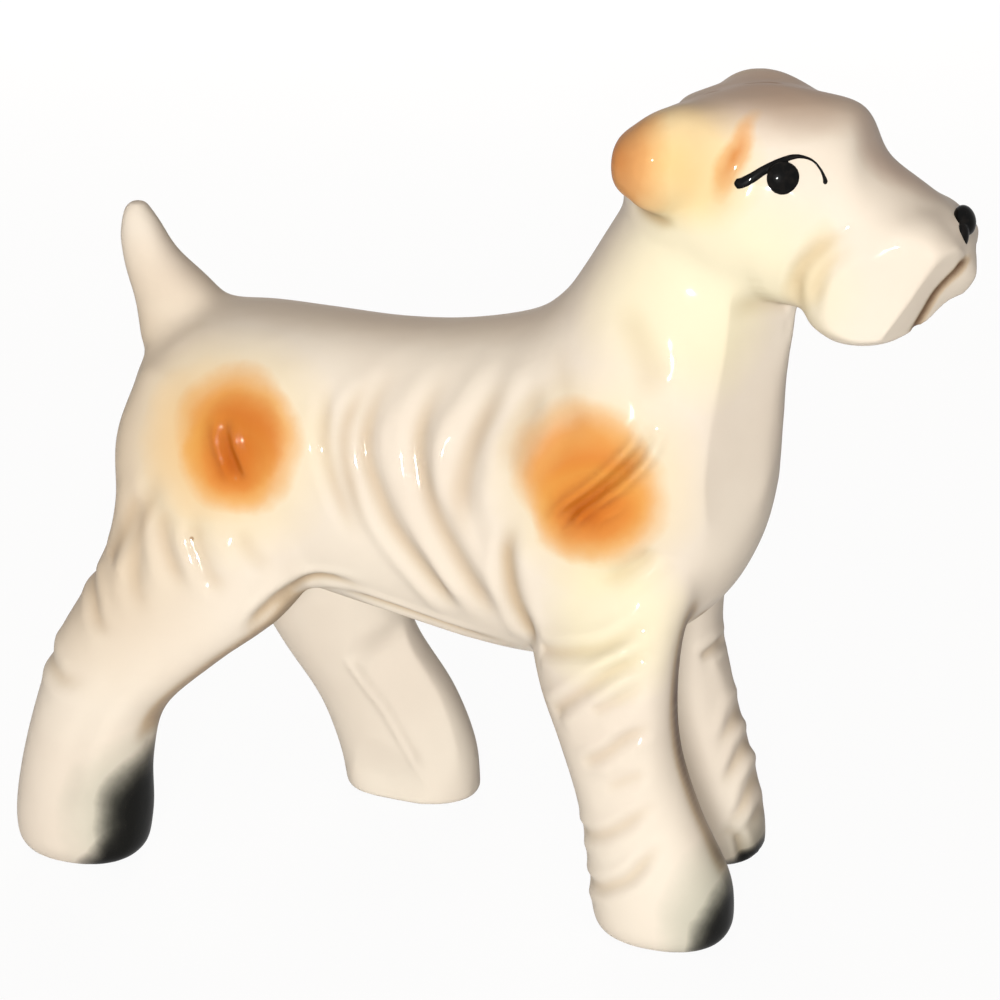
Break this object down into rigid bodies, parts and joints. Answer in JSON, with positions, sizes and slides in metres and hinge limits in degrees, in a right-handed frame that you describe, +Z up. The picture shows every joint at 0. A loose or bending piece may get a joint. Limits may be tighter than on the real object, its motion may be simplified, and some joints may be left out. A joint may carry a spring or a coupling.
{
  "type": "porcelain dog figurine",
  "caption": "Glazed porcelain terrier ornament standing in mid-stride, with docked tail, folded ears and creased flanks, legs and beard.",
  "frame": {"origin": "on the shelf, under the middle of the ornament's overall box", "axes": "+X from tail to nose, +Y to the dog's left, +Z up"},
  "size_m": [0.1536, 0.0604, 0.1348],
  "materials": {
    "cream_glaze": "clear gloss glaze over cream body, airbrushed with amber patches",
    "amber_glaze": "clear gloss glaze over airbrushed amber that fades to cream",
    "black_enamel": "glossy fired black enamel, brushed on"
  },
  "bodies": {
    "root": {"trunk": "cream_glaze", "head": "cream_glaze", "tail": "cream_glaze", "front_leg_right": "cream_glaze", "front_leg_left": "cream_glaze", "hind_leg_right": "cream_glaze", "hind_leg_left": "cream_glaze", "ear_right": "amber_glaze", "ear_left": "amber_glaze", "eye_right_enamel": "black_enamel", "eye_left_enamel": "black_enamel", "nose_enamel": "black_enamel"}
  },
  "joints": []
}
